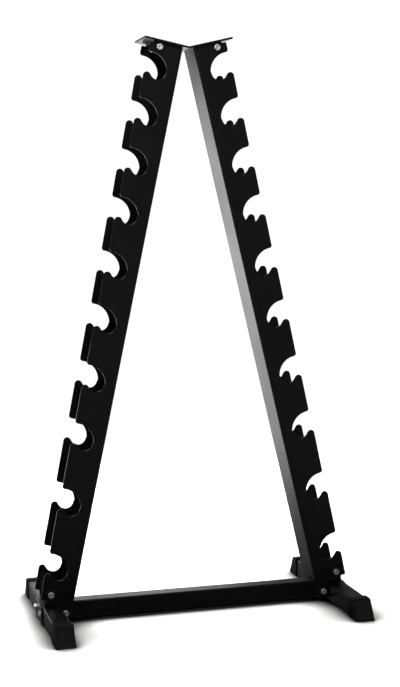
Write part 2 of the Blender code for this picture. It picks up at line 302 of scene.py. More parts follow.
def skinned(name, outline, skins, thickness, radius, carry, node):
    """Coated sheet cut to an outline: two skins joined by a rounded rim.

    Each rim point is outline - inset * mitre at its depth under the outer skin, and carry puts it in
    space.  carry returns points, the directions of the blank's two axes and the outer skin's normal.
    """
    profile = rim_profile(thickness, radius)
    mitre, unit = outward(outline)
    rings = []
    normals = []
    for inset, depth, edge_share, skin_share in profile:
        points, first, second, skin = carry(outline - inset * mitre, depth)
        edge = unit[:, :1] * first + unit[:, 1:] * second
        rings.append(points)
        normals.append(edge_share * edge + skin_share * skin)
    count = len(outline)
    faces = strips(len(profile), count, False)[:, ::-1].tolist()
    last = (len(profile) - 1) * count
    for skin_loop in skins:
        faces.append(list(skin_loop))
        faces.append([last + i for i in reversed(skin_loop)])
    _, first, second, skin = carry(outline[:1], 0.0)
    if np.cross(first[0], second[0]) @ skin[0] < 0:
        faces = [face[::-1] for face in faces]
    # rim marks the rounded cut edge, where the coat's colour is raised as a painted highlight
    masks = {"rim": np.repeat(profile[:, 2], count)}
    points = np.concatenate(rings)
    add_piece(name, points, faces, np.concatenate(normals), "powder-coated steel", node, masks)


def flat_carry(origin, first, second):
    """Puts a flat blank in space: origin + u first + v second, then down from the outer skin by depth.

    The outer skin's normal is first x second.
    """
    skin = np.cross(first, second)

    def carry(blank, depth):
        points = origin + blank[:, :1] * first + blank[:, 1:] * second - depth * skin
        shape = np.ones((len(blank), 1))
        return points, shape * first, shape * second, shape * skin

    return carry


def fold_carry(origin, along, out, half, bend):
    """Folds a blank (a, u) into a channel along a, with its web across Y and its flanges towards out.

    s = |u| - (half - bend) is how far a point lies past the web's flat, and t = s / bend, kept within 0
    and 90 degrees, its turn.  Then w = bend - (bend - depth) cos t + what is left of s, and y = the
    sign of u times (half - bend + (bend - depth) sin t).
    """

    def carry(blank, depth):
        a = blank[:, 0]
        u = blank[:, 1]
        sign = np.where(u < 0, -1.0, 1.0)
        past = np.abs(u) - (half - bend)
        turn = np.clip(past / bend, 0, math.pi / 2)
        rest = np.maximum(past - bend * math.pi / 2, 0)
        w = bend - (bend - depth) * np.cos(turn) + rest
        y = np.where(past < 0, u, sign * (half - bend + (bend - depth) * np.sin(turn)))
        points = origin + a[:, None] * along + w[:, None] * out + y[:, None] * AXIS_Y
        first = np.repeat(along[None], len(a), axis=0)
        second = (sign * np.sin(turn))[:, None] * out + np.cos(turn)[:, None] * AXIS_Y
        skin = -np.cos(turn)[:, None] * out + (sign * np.sin(turn))[:, None] * AXIS_Y
        return points, first, second, skin

    return carry


def folded(node, contour, web_bottom, half, origin, along, out):
    """A channel folded from one blank of the uprights' sheet.

    contour is a flange's edge as (a, w), from the fold at the bottom to the fold at the top, and
    web_bottom is the web's lower edge as (a, y), from +y to -y.  The blank's outline runs anticlockwise:
    lower flange's edge, top, upper flange's edge, bottom, with one point on each line of both folds, so
    that the folds' skins are strips.
    """
    s = settings("upright")
    steps = 6
    flat = half - s.bend
    turns = np.linspace(math.pi / 2, 0, steps + 1)
    fold_w = s.bend - s.bend * np.cos(turns)
    bottom_a = np.interp(fold_w, (0, s.bend), (web_bottom[0][0], contour[0][0]))
    top_a = np.full(steps + 1, contour[-1][0])
    fold_u = flat + s.bend * turns
    flange_u = flat + s.bend * math.pi / 2 + contour[:, 1] - s.bend
    low = np.stack([contour[:, 0], -flange_u], axis=1)
    high = np.stack([contour[::-1, 0], flange_u[::-1]], axis=1)
    top_low = np.stack([top_a, -fold_u], axis=1)[1:]
    top_high = np.stack([top_a, fold_u], axis=1)[::-1][:-1]
    bottom_high = np.stack([bottom_a, fold_u], axis=1)[1:]
    bottom_low = np.stack([bottom_a, -fold_u], axis=1)[::-1][:-1]
    slot_edge = np.asarray(web_bottom, float)[1:-1].reshape(-1, 2)
    parts = (low, top_low, top_high, high, bottom_high, slot_edge, bottom_low)
    starts = np.cumsum([0] + [len(part) for part in parts])
    spans = [list(range(first, last)) for first, last in zip(starts, starts[1:])]
    low_i, top_low_i, top_high_i, high_i, bottom_high_i, slot_i, bottom_low_i = spans
    skins = [low_i, high_i]
    tops = [low_i[-1]] + top_low_i
    bottoms = [low_i[0]] + bottom_low_i[::-1]
    skins += [[b0, t0, t1, b1] for b0, b1, t0, t1 in zip(bottoms, bottoms[1:], tops, tops[1:])]
    tops = [high_i[0]] + top_high_i[::-1]
    bottoms = [high_i[-1]] + bottom_high_i
    skins += [[b1, t1, t0, b0] for b0, b1, t0, t1 in zip(bottoms, bottoms[1:], tops, tops[1:])]
    skins.append([top_low_i[-1], top_high_i[0], bottom_high_i[-1]] + slot_i + [bottom_low_i[0]])
    carry = fold_carry(origin, along, out, half, s.bend)
    skinned(f"folded_{node}", np.concatenate(parts), skins, s.sheet, s.edge, carry, node)


def lofted(name, rings, normals, closed, finish, node, masks=None):
    """Rings (k, n, 3) joined one after another; an open loft is capped at both ends."""
    levels, count = rings.shape[:2]
    points = rings.reshape(-1, 3)
    faces = strips(levels, count, closed).tolist()
    if not closed:
        faces.append(list(range(count))[::-1])
        faces.append(list(range(len(points) - count, len(points))))
    if signed_volume(points, faces) < 0:
        faces = [face[::-1] for face in faces]
    flat_normals = None if normals is None else normals.reshape(-1, 3)
    add_piece(name, points, faces, flat_normals, finish, node, masks)


def signed_volume(points, faces):
    """The sum over each face's fan of a . (b x c) / 6, positive where faces point out."""
    total = 0.0
    for face in faces:
        a = points[face[0]]
        fan = points[face[1:]]
        total += (a * np.cross(fan[:-1], fan[1:])).sum()
    return total / 6


# ---- materials


def linear(text, factor=1.0):
    """Linear red, green and blue of an sRGB hex value, times a factor, with full alpha."""
    values = [int(text[i : i + 2], 16) / 255 for i in (1, 3, 5)]
    return (*(factor * (v / 12.92 if v <= 0.04045 else ((v + 0.055) / 1.055) ** 2.4) for v in values), 1.0)


def add_node(tree, kind, inputs=None, **values):
    """One node with its settings; each input is a number, a colour or another node's socket."""
    node = tree.nodes.new(kind)
    for key, value in values.items():
        setattr(node, key, value)
    for key, value in (inputs or {}).items():
        if isinstance(value, bpy.types.NodeSocket):
            tree.links.new(value, node.inputs[key])
        else:
            node.inputs[key].default_value = value
    return node


def new_material(name):
    """A node material, its tree, its shader and its Object coordinates."""
    material = bpy.data.materials.new(name)
    material.use_nodes = True
    tree = material.node_tree
    place = add_node(tree, "ShaderNodeTexCoord").outputs["Object"]
    return material, tree, tree.nodes["Principled BSDF"], place


def noise(tree, place, size, detail):
    """Soft noise whose spots are about size across."""
    inputs = {"Vector": place, "Scale": 1 / size, "Detail": detail}
    return add_node(tree, "ShaderNodeTexNoise", inputs).outputs["Fac"]


def blend(tree, factor, first, second):
    """The colour that lies between two colours by a factor."""
    inputs = {"Factor": factor, 6: first, 7: second}
    return add_node(tree, "ShaderNodeMix", inputs, data_type="RGBA").outputs[2]


def ramp(tree, value, start, end, low=0.0, high=1.0, curve="LINEAR"):
    """Low up to where the value reaches start, high from end on, and between them in between."""
    inputs = {"Value": value, "From Min": start, "From Max": end, "To Min": low, "To Max": high}
    return add_node(tree, "ShaderNodeMapRange", inputs, interpolation_type=curve).outputs["Result"]


def calculate(tree, operation, first, second):
    """One operation on two numbers or sockets."""
    return add_node(tree, "ShaderNodeMath", {0: first, 1: second}, operation=operation).outputs[0]


def dimpled(tree, shader, layers):
    """Bumps on a shader's normal, from the finest up: each layer is (height, strength, distance)."""
    under = {}
    for height, strength, distance in layers:
        inputs = {"Height": height, "Strength": strength, "Distance": distance, **under}
        under = {"Normal": add_node(tree, "ShaderNodeBump", inputs).outputs["Normal"]}
    tree.links.new(under["Normal"], shader.inputs["Normal"])


def powder_coated_steel():
    """Black satin powder coat on steel.

    The melted powder leaves a faint orange peel about 2 mm across and a fine grain, so a reflection is
    soft and slightly uneven.  Both have their real size.  Cut edges are painted a shade lighter, a
    painted highlight along them.
    """
    finish = settings("finish")
    material, tree, shader, place = new_material("powder-coated steel")
    peel = noise(tree, place, 2.2 * MM, 2.0)
    grain = noise(tree, place, 0.5 * MM, 1.0)
    cloud = noise(tree, place, 90 * MM, 4.0)
    # the rim mask marks each cut edge, whose colour is raised a shade: a painted highlight
    rim = add_node(tree, "ShaderNodeAttribute", attribute_name="rim").outputs["Fac"]
    tint = blend(tree, rim, linear(finish.coat_hex), linear(finish.coat_hex, 1.3))
    tree.links.new(tint, shader.inputs["Base Color"])
    low = finish.coat_roughness - 0.035
    high = finish.coat_roughness + 0.035
    tree.links.new(ramp(tree, cloud, 0.3, 0.7, low, high), shader.inputs["Roughness"])
    dimpled(tree, shader, [(grain, 0.25, 0.02 * MM), (peel, 0.35, 0.06 * MM)])
    shader.inputs["IOR"].default_value = 1.5
    return material


def moulded_rubber():
    """Black moulded rubber: dull, with a fine mould grain, and upright ribs on the toe's panel, painted
    paler.

    A wave's bands repeat every 2 pi / (20 scale), so the scale for a pitch is 2 pi / (20 pitch).
    """
    finish = settings("finish")
    pitch = settings("foot").rib_pitch
    material, tree, shader, place = new_material("moulded rubber")
    grain = noise(tree, place, 0.7 * MM, 2.0)
    dust = noise(tree, place, 14 * MM, 5.0)
    ribs = add_node(
        tree,
        "ShaderNodeTexWave",
        {"Vector": place, "Scale": 2 * math.pi / (20 * pitch)},
        wave_type="BANDS",
        bands_direction="X",
        wave_profile="SIN",
    )
    panel = add_node(tree, "ShaderNodeAttribute", attribute_name="panel").outputs["Fac"]
    raised = calculate(tree, "MULTIPLY", ribs.outputs["Fac"], panel)
    dusted = blend(tree, dust, linear(finish.rubber_hex), linear(finish.rubber_hex, 1.8))
    tint = blend(tree, raised, dusted, linear(finish.rubber_hex, 7.0))
    tree.links.new(tint, shader.inputs["Base Color"])
    tree.links.new(ramp(tree, dust, 0.3, 0.7, 0.48, 0.6), shader.inputs["Roughness"])
    dimpled(tree, shader, [(grain, 0.4, 0.05 * MM), (raised, 1.0, 1.2 * MM)])
    shader.inputs["IOR"].default_value = 1.5
    shader.inputs["Specular IOR Level"].default_value = 0.16
    return material


def zinc_plated_steel():
    """Bright zinc plating: a pale grey metal, softly glossy, with faint clouding from the plating bath."""
    finish = settings("finish")
    material, tree, shader, place = new_material("zinc-plated steel")
    cloud = noise(tree, place, 4 * MM, 4.0)
    grain = noise(tree, place, 0.4 * MM, 1.0)
    tint = blend(tree, cloud, linear(finish.zinc_hex, 0.82), linear(finish.zinc_hex))
    tree.links.new(tint, shader.inputs["Base Color"])
    tree.links.new(ramp(tree, cloud, 0.3, 0.7, 0.5, 0.6), shader.inputs["Roughness"])
    dimpled(tree, shader, [(grain, 0.3, 0.02 * MM)])
    shader.inputs["Metallic"].default_value = 1.0
    return material


# each finish's material and the name of the frame's slot for it
FINISHES = {
    "powder-coated steel": (powder_coated_steel, "powder_coat"),
    "moulded rubber": (moulded_rubber, "rubber"),
    "zinc-plated steel": (zinc_plated_steel, "zinc_steel"),
}


# ---- sheet


def upright_axes(side):
    """Origin, direction up the upright and direction outward from its web."""
    s = settings("upright")
    origin = np.array((side * s.web_foot, 0.0, 0.0))
    along = np.array((-side * math.sin(s.lean), 0.0, math.cos(s.lean)))
    out = np.array((side * math.cos(s.lean), 0.0, math.sin(s.lean)))
    return origin, along, out


def hook_tips():
    """Heights of the hooks' tips along an upright: the lowest one, then a sum of the pitches."""
    s = settings("upright")
    return s.lowest_tip + np.concatenate([[0.0], np.cumsum(s.pitches[:])])


def notch(tip):
    """One notch from its hook up to its lip, as points (w, a).

    The hook's round head and the seat share a sloping tangent.  A short straight leads from the seat to
    the arch, and the arch runs out level to the lip's small round corner.
    """
    s = settings("upright")
    seat_inset = 31 * MM
    seat_drop = 11.8 * MM
    arch_inset = 7.9 * MM
    seat_end = math.radians(194.8)
    arch_start = math.radians(169.2)
    head = np.array((s.flange, 0.0)) + s.bulge - s.head_radius
    seat = np.array((s.flange - seat_inset, s.seat_radius - seat_drop))
    arch = np.array((s.flange - arch_inset, s.mouth - s.arch_radius))
    reach = (s.seat_radius + s.head_radius) / np.linalg.norm(head - seat)
    slope = math.atan2(head[0] - seat[0], seat[1] - head[1]) - math.acos(reach)
    lip = (s.flange - s.lip_radius, s.mouth + s.lip_radius)
    pieces = (
        arc(head, s.head_radius, 0.0, slope + math.pi / 2, 12),
        arc(seat, s.seat_radius, slope + 1.5 * math.pi, seat_end, 16),
        arc(arch, s.arch_radius, arch_start, math.pi / 2, 24),
        arc(lip, s.lip_radius, -math.pi / 2, 0.0, 6),
    )
    return np.concatenate(pieces) + (0.0, tip)


def upright_contour():
    """A flange's edge as (a, w), from the fold at the tail, round the foot cut and up the notches.

    The edge clears the foot's tube up to the cut, and a sloping relief trims the flange at the top.
    """
    s = settings("upright")
    origin, along, out = upright_axes(1)
    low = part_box("right_upright")[0][2]
    tail_gap = 1.8 * MM
    cut = 44.5 * MM
    relief = 3 * MM
    relief_start = 11 * MM
    relief_end = 15 * MM
    # points further along a side, which only give a corner its direction
    before = 20 * MM
    beyond = 30 * MM
    tail_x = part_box("right_foot")[0][0] - tail_gap

    def local(x, z):
        offset = np.array((x, 0.0, z)) - origin
        return offset @ along, offset @ out

    fold_a = (low - s.bend * out[2]) / along[2]
    cut_w = (tail_x - origin[0] - cut * along[0]) / out[0]
    tail = rounded_corners(
        (
            (fold_a - before, s.bend),
            (fold_a, s.bend),
            local(tail_x, low),
            (cut, cut_w),
            (cut, s.flange),
            (cut + beyond, s.flange),
            (cut + beyond, s.bend),
        ),
        (0, 0, 1.2 * MM, 1.0 * MM, 3 * MM, 0, 0),
    )[1:-2]
    notches = [notch(tip)[:, ::-1] for tip in hook_tips()]
    head = rounded_corners(
        (
            (s.length - before, s.flange),
            (s.length - relief, s.flange),
            (s.length - relief, s.flange - relief_start),
            (s.length, s.flange - relief_end),
            (s.length, s.bend),
            (s.length - before, s.bend),
        ),
        (0, 1.5 * MM, 0.8 * MM, 0.8 * MM, 0, 0),
    )[1:-1]
    return np.concatenate([tail, *notches, head])


def draw_uprights():
    """Each upright is one blank, notched down both long edges and folded into a channel."""
    s = settings("upright")
    gap = 0.5 * MM
    bar_low, bar_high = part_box("crossbar")
    slot_half = (bar_high[1] - bar_low[1]) / 2 + gap
    for label, side in SIDES:
        node = f"{label}_upright"
        low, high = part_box(node)
        half = (high[1] - low[1]) / 2
        origin, along, out = upright_axes(side)
        tail = low[2] / along[2]
        slot_top = (bar_high[2] + gap) / along[2]
        flat = half - s.bend
        corners = (
            (tail, flat),
            (tail, slot_half),
            (slot_top, slot_half),
            (slot_top, -slot_half),
            (tail, -slot_half),
            (tail, -flat),
        )
        edge = rounded_corners(corners, (0, 1.0 * MM, 2.0 * MM, 2.0 * MM, 1.0 * MM, 0), 3)
        folded(node, upright_contour(), edge, half, origin, along, out)


def draw_bracket(node, ear, radii, steps, place, along, out):
    """A short channel whose two ears have the corners (a, w), in order from one fold line to the other."""
    s = settings("upright")
    low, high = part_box(node)
    half = (high[1] - low[1]) / 2
    start = ear[0][0]
    # the point before the fold line only gives the first corner its direction
    corners = ((start, s.bend - 10 * MM), *ear, (ear[-1][0], s.bend))
    contour = rounded_corners(corners, (0, *radii, 0), steps)[1:]
    contour = np.concatenate([[(start, s.bend)], contour])
    web = ((start, half - s.bend), (start, s.bend - half))
    folded(node, contour, web, half, place, along, out)


def draw_brackets():
    """The small channels: under the plate in each upright, on each foot and at each end of the crossbar."""
    s = settings("upright")
    for label, side in SIDES:
        # this one's web is its roof: along runs outward, and its ears hang down
        origin, along, out = upright_axes(side)
        roof_start = 14 * MM
        roof_end = 68 * MM
        ear_start = 39 * MM
        ear_short = 9 * MM
        ear_long = 23.5 * MM
        ear = ((roof_start, ear_short), (ear_start, ear_long), (roof_end, ear_long))
        roof = origin + along * s.length
        draw_bracket(f"{label}_top_bracket", ear, (2 * MM, 5 * MM, 5 * MM), 4, roof, out, -along)

        node = f"{label}_foot_saddle"
        low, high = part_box(node)
        width = high[0] - low[0]
        height = high[2] - low[2]
        ear = ((0.0, height), (width, height))
        draw_bracket(node, ear, (7 * MM, 7 * MM), 8, np.array((low[0], 0.0, low[2])), AXIS_X, AXIS_Z)

        node = f"{label}_crossbar_bracket"
        low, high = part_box(node)
        height = high[2] - low[2]
        depth = high[0] - low[0]
        ear = ((0.0, depth), (height, depth))
        place = np.array((high[0] if side > 0 else low[0], 0.0, low[2]))
        draw_bracket(node, ear, (3 * MM, 3 * MM), 5, place, AXIS_Z, -side * AXIS_X)


def draw_plates():
    """The V-bent top plate, and the flat plate on each foot's outer face."""
    s = settings("upright")
    edge = 0.6 * MM
    side_edge = 0.7 * MM
    under_radius = 16 * MM
    over_radius = 11 * MM
    thick = 4.6 * MM
    low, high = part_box("top_plate")
    rise = math.tan(s.lean)
    across = np.array((math.sin(s.lean), -math.cos(s.lean))) * thick
    top = np.array((high[0] - across[0], high[2]))
    under = top + across
    bend_top = top[1] - top[0] * rise
    bend_under = under[1] - under[0] * rise
    corners = ((0.0, bend_under), under, top, (0.0, bend_top), (-top[0], top[1]), (-under[0], under[1]))
    outline = rounded_corners(corners, (under_radius, edge, edge, over_radius, edge, edge), 8)
    carry = flat_carry(np.array((0.0, low[1], 0.0)), AXIS_X, AXIS_Z)
    # a hollow outline can't be one face, so each skin is a wing on either side of the bend
    low_bend, high_bend = np.flatnonzero(np.abs(outline[:, 0]) < 1e-7)
    right_wing = list(range(low_bend, high_bend + 1))
    left_wing = list(range(high_bend, len(outline))) + list(range(low_bend + 1))
    skinned("bent_top_plate", outline, [right_wing, left_wing], high[1] - low[1], edge, carry, "top_plate")
    for label, side in SIDES:
        node = f"{label}_side_plate"
        low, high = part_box(node)
        corners = ((low[1], low[2]), (high[1], low[2]), (high[1], high[2]), (low[1], high[2]))
        outline = rounded_corners(corners, 2.5 * MM, 5)
        if side < 0:
            outline = (outline * (-1, 1))[::-1]
        face_x = high[0] if side > 0 else low[0]
        carry = flat_carry(np.array((face_x, 0.0, 0.0)), side * AXIS_Y, AXIS_Z)
        loop = list(range(len(outline)))
        skinned(f"cut_{node}", outline, [loop], high[0] - low[0], side_edge, carry, node)


# ---- tube and rubber


def tube_rings(half_u, half_v, reach):
    """Rings and normals round a square tube's wall: out along the outer face, over the end and back inside.

    Each ring is the tube's rounded square drawn in by an inset, at a distance along the tube.  The ends
    are rounded by quarter circles of radius edge.
    """
    s = settings("foot")
    edge = 0.4 * MM
    least_corner = 0.4 * MM
    t = np.linspace(0, math.pi / 2, 4)
    over = np.stack([edge * (1 - np.cos(t)), reach - edge * (1 - np.sin(t)), np.cos(t), np.sin(t)], axis=1)
    back = over[::-1] * (-1, 1, -1, 1) + (s.wall, 0, 0, 0)
    end = np.concatenate([over, back])
    start = end[::-1] * (1, -1, 1, -1)
    rings = []
    normals = []
    for inset, distance, face_share, end_share in np.concatenate([end, start]):
        loop, normal = rounded_square(half_u - inset, half_v - inset, max(s.corner - inset, least_corner))
        rings.append(np.insert(loop, 2, distance, axis=1))
        normals.append(np.insert(face_share * normal, 2, end_share, axis=1))
    return np.array(rings), np.array(normals)


def draw_tubes():
    """The crossbar and both feet: hollow square tube with small round corners."""
    for node in ("crossbar", "left_foot", "right_foot"):
        low, high = box_corners(node)
        half = (high - low) / 2
        long_axis = int(np.argmax(half))
        across = [i for i in range(3) if i != long_axis]
        rings, normals = tube_rings(half[across[0]], half[across[1]], half[long_axis])
        order = np.argsort([*across, long_axis])
        rings = rings[..., order] + (low + high) / 2
        lofted(f"square_{node}", rings, normals[..., order], True, "powder-coated steel", node)


def shoe_rows(pocket_x, floor, lip, toe, toe_round):
    """A shoe's section from its pocket's floor to its toe: (inset, distance, sloped, on the panel).

    The mouth's lip and the toe's rounding are quarter circles: r (1 - cos t), r (1 - sin t).
    """
    lip_round = 0.7 * MM
    border = 3.2 * MM
    sunk = 0.7 * MM
    wall = 0.7 * MM
    turns = np.linspace(0, math.pi / 2, 5)
    curve = [(1 - math.cos(t), 1 - math.sin(t)) for t in turns]
    rows = [(pocket_x, floor, 0, 0), (pocket_x, lip + lip_round, 0, 0)]
    rows += [(pocket_x - lip_round * c, lip + lip_round * g, 0, 0) for c, g in curve]
    rows += [(lip_round * g, lip + lip_round * c, 0, 0) for c, g in curve]
    rows += [(toe_round * c, toe - toe_round * g, 1, 0) for c, g in curve]
    rows += [(border, toe, 1, 0), (border + wall / 2, toe - 0.5 * sunk, 1, 0)]
    rows += [(border + wall, toe - sunk, 1, 1), (border + 2 * wall, toe - sunk, 1, 1)]
    return rows


def draw_shoes():
    """A rubber shoe on each end of the feet.

    Rings of a rounded square run from the pocket's floor out to its mouth, round the lip and back over
    the outside to the toe.  A toe point's distance is toe - lean * height / full height, so the toe
    slopes out to the floor.  Its face has a raised border and a panel sunk inside it.
    """
    s = settings("foot")
    clearance = 0.3 * MM
    toe_reach = 4.0 * MM
    corner = 2.6 * MM
    least_corner = 1.0 * MM
    for label, _ in SIDES:
        foot_low, foot_high = box_corners(f"{label}_foot")
        for end_name, end in ENDS:
            node = f"{label}_{end_name}_shoe"
            low, high = box_corners(node)
            centre_x = (low[0] + high[0]) / 2
            half_x = (high[0] - low[0]) / 2
            half_z = (high[2] - low[2]) / 2
            lip = min(abs(low[1]), abs(high[1]))
            toe = max(abs(low[1]), abs(high[1])) + toe_reach
            pocket_x = half_x - (foot_high[0] - foot_low[0]) / 2 - clearance
            rows = shoe_rows(pocket_x, foot_high[1] + clearance, lip, toe, s.toe_round)
            rings = []
            panel = []
            for inset, distance, sloped, mask in rows:
                radius = max(corner - inset, least_corner)
                loop, _ = rounded_square(half_x - inset, half_z - inset, radius)
                height = loop[:, 1] + half_z
                back = sloped * s.toe_lean * height / (2 * half_z)
                y = end * (distance - back)
                rings.append(np.stack([centre_x + loop[:, 0], y, low[2] + height], axis=1))
                panel.append(np.full(len(loop), float(mask)))
            masks = {"panel": np.concatenate(panel)}
            lofted(f"moulded_{node}", np.array(rings), None, False, "moulded rubber", node, masks)


# ---- hardware


def turned_rings(profile, origin, axis, spin):
    """Rings (k, n, 3) about an axis: each row is (distance, radius, hexagon or round, cone).

    A hexagon's radius is r / cos(angle to the nearest flat's middle).  Where cone isn't 0 the ring
    drops by (its radius - r) * tan(cone), which is how a cone trims a hexagon's corners.
    """
    count = 48
    angle = 2 * np.pi * np.arange(count) / count
    off = (angle + np.pi / 6) % (np.pi / 3) - np.pi / 6
    u_axis = np.cross(axis, AXIS_Z)
    v_axis = np.cross(axis, u_axis)
    turned = angle + spin
    around = np.cos(turned)[:, None] * u_axis + np.sin(turned)[:, None] * v_axis
    rings = []
    for distance, radius, is_hexagon, cone in profile:
        reach = radius / np.cos(off) if is_hexagon else np.full(count, radius)
        along = distance + (reach - radius) * math.tan(cone)
        rings.append(origin + reach[:, None] * around + along[:, None] * axis)
    return np.array(rings)


def thread_rows(start, end, radius, pitch):
    """Rings along a thread, four to a turn, whose radius falls by a third of the pitch in each groove."""
    count = int(round((end - start) / (pitch / 4)))
    distance = np.linspace(start, end, count + 1)
    wave = np.abs((distance - start) / pitch % 1.0 * 2 - 1)
    depth = pitch * 0.33 * (1 - wave)
    return [(d, radius - g, False, 0) for d, g in zip(distance, depth)]


def bolt_profile(length, grip):
    """From the crown of the head to the shank's tip, in distance from the seat under the head."""
    s = settings("hardware")
    half = s.across_flats / 2
    core = s.thread / 2
    crown = half * CROWN
    dimple = 0.25 * MM
    bearing = 0.5 * MM
    tip = 0.8 * MM
    return [
        (-BOLT_HEAD + dimple, 2.2 * MM, False, 0),
        (-BOLT_HEAD, 3.0 * MM, False, 0),
        (-BOLT_HEAD, crown, False, 0),
        (-BOLT_HEAD + (half - crown) * math.tan(s.chamfer), half, True, s.chamfer),
        (-bearing, half, True, 0),
        (-0.7 * bearing, half * 0.97, False, 0),
        (0.0, half * 0.95, False, 0),
        (0.0, core, False, 0),
        *thread_rows(grip, length - tip, core, s.thread_pitch),
        (length, core - tip, False, 0),
    ]


def nut_profile(height):
    """Round a nut's section: up its bore, over the crown, down the flats and under."""
    s = settings("hardware")
    half = s.across_flats / 2
    crown = half * CROWN
    trim = (half - crown) * math.tan(s.chamfer)
    bore = 4.08 * MM
    bevel = 0.4 * MM
    return [
        (0.0, bore + bevel, False, 0),
        (0.0, crown, False, 0),
        (trim, half, True, s.chamfer),
        (height - trim, half, True, -s.chamfer),
        (height, crown, False, 0),
        (height, bore + bevel, False, 0),
        (height - bevel, bore, False, 0),
        (bevel, bore, False, 0),
    ]


def draw_bolt(node, axis, end, least_grip, spin):
    """One bolt along X (axis 0) or Y (axis 1), with its head at the high end where end is positive."""
    thread = 16 * MM
    low, high = box_corners(node)
    length = high[axis] - low[axis] - BOLT_HEAD
    origin = (low + high) / 2
    origin[axis] = high[axis] - BOLT_HEAD if end > 0 else low[axis] + BOLT_HEAD
    profile = bolt_profile(length, max(length - thread, least_grip))
    rings = turned_rings(profile, origin, -end * (AXIS_X, AXIS_Y)[axis], spin)
    lofted(f"plated_{node}", rings, None, False, "zinc-plated steel", node)


def draw_bolts():
    """Each bolt has its head where the frame's is, turned a little differently from its neighbours."""
    spins = iter(np.random.default_rng(8).uniform(0, math.pi / 3, 32))
    least_grip = 6.5 * MM
    for label, side in SIDES:
        for kind in ("top_bolt", "saddle_bolt", "end_bolt_front", "end_bolt_rear"):
            end = 1 if kind.endswith("rear") else -1
            draw_bolt(f"{label}_{kind}", 1, end, least_grip, next(spins))
        for end_name, _ in ENDS:
            draw_bolt(f"{label}_side_bolt_{end_name}", 0, side, 0.0, next(spins))


def draw_nuts():
    """Each nut sits where the frame's is.  An end nut's flats face the foot, so that it clears it."""
    spins = iter(np.random.default_rng(21).uniform(0, math.pi / 3, 32))
    for label, _ in SIDES:
        for kind in ("top_nut", "saddle_nut", "end_nut_front", "end_nut_rear"):
            node = f"{label}_{kind}"
            end = -1 if kind.endswith("rear") else 1
            low, high = box_corners(node)
            origin = (low + high) / 2
            origin[1] = low[1] if end > 0 else high[1]
            spin = 0.0 if kind.startswith("end") else next(spins)
            rings = turned_rings(nut_profile(high[1] - low[1]), origin, end * AXIS_Y, spin)
            lofted(f"plated_{node}", rings, None, True, "zinc-plated steel", node)


# ---- stage


def emission_sheet(name, corners, strength):
    """A flat white glow, seen only in reflections; returns its tree and its strength's socket."""
    mesh = bpy.data.meshes.new(name)
    mesh.from_pydata(corners, [], [tuple(range(len(corners)))])
    material = bpy.data.materials.new(name)
    material.use_nodes = True
    tree = material.node_tree
    tree.nodes.clear()
    glow = add_node(tree, "ShaderNodeEmission", {"Color": (1, 1, 1, 1), "Strength": strength})
    output = add_node(tree, "ShaderNodeOutputMaterial")
    tree.links.new(glow.outputs[0], output.inputs["Surface"])
    mesh.materials.append(material)
    sheet = add_object(name, mesh)
    sheet.visible_camera = False
    sheet.visible_diffuse = False
    sheet.visible_shadow = False
    return tree, glow.inputs["Strength"]


def add_floor():
    """A pale floor for the eye.

    Near the rack the floor takes the lamp's light, and ambient occlusion darkens its colour where a
    piece stands close: a painted contact shadow.  From 1 m to 2.5 m out it turns into an even white, so
    it has no horizon.
    """
    s = settings("stage")
    reach = s.floor_size / 2
    corners = [(-reach, -reach, 0.0), (reach, -reach, 0.0), (reach, reach, 0.0), (-reach, reach, 0.0)]
    mesh = bpy.data.meshes.new("pale_floor")
    mesh.from_pydata(corners, [], [(0, 1, 2, 3)])
    material, tree, shader, place = new_material("pale floor")
    shader.inputs["Roughness"].default_value = 0.9
    shader.inputs["Specular IOR Level"].default_value = 0.0
    # ambient occlusion darkens the floor's colour round each piece: a painted contact shadow
    nearby = add_node(tree, "ShaderNodeAmbientOcclusion", {"Distance": s.contact}, samples=12).outputs["AO"]
    painted_contact_shadow = calculate(tree, "POWER", nearby, s.contact_depth)
    tint = blend(tree, painted_contact_shadow, (0.0, 0.0, 0.0, 1.0), linear(s.floor_hex))
    tree.links.new(tint, shader.inputs["Base Color"])
    distance = add_node(tree, "ShaderNodeVectorMath", {0: place}, operation="LENGTH").outputs["Value"]
    even = add_node(tree, "ShaderNodeEmission", {"Color": (1, 1, 1, 1), "Strength": WHITE})
    mix = add_node(tree, "ShaderNodeMixShader", {0: ramp(tree, distance, 1.0, 2.5, curve="SMOOTHSTEP")})
    tree.links.new(shader.outputs[0], mix.inputs[1])
    tree.links.new(even.outputs[0], mix.inputs[2])
    tree.links.new(mix.outputs[0], tree.nodes["Material Output"].inputs["Surface"])
    mesh.materials.append(material)
    floor = add_object("pale_floor", mesh)
    floor.visible_glossy = False
    add_floor_in_gloss(corners)


def add_floor_in_gloss(corners):
    """The dimmer room that gloss mirrors in the floor's place.

    Its glow is (a rise with the distance from the rack + a share to the left + a share far out), times
    a share that falls off towards the front.
    """
    under = [(x, y, -1 * MM) for x, y, _ in corners]
    tree, strength = emission_sheet("floor_in_gloss", under, 1.0)
    place = add_node(tree, "ShaderNodeTexCoord").outputs["Object"]
    distance = add_node(tree, "ShaderNodeVectorMath", {0: place}, operation="LENGTH").outputs["Value"]
    parts = add_node(tree, "ShaderNodeSeparateXYZ", {0: place})
    near = ramp(tree, distance, 0.25, 1.7, 0.14, 1.35, "SMOOTHSTEP")
    left = ramp(tree, parts.outputs["X"], -0.38, -0.6, 0.0, 0.45)
    far = ramp(tree, distance, 3.0, 5.2, 0.0, 0.4)
    rear = ramp(tree, parts.outputs["Y"], -0.3, 0.4, 0.08, 1.0, "SMOOTHSTEP")
    around = calculate(tree, "ADD", calculate(tree, "ADD", near, left), far)
    tree.links.new(calculate(tree, "MULTIPLY", around, rear), strength)


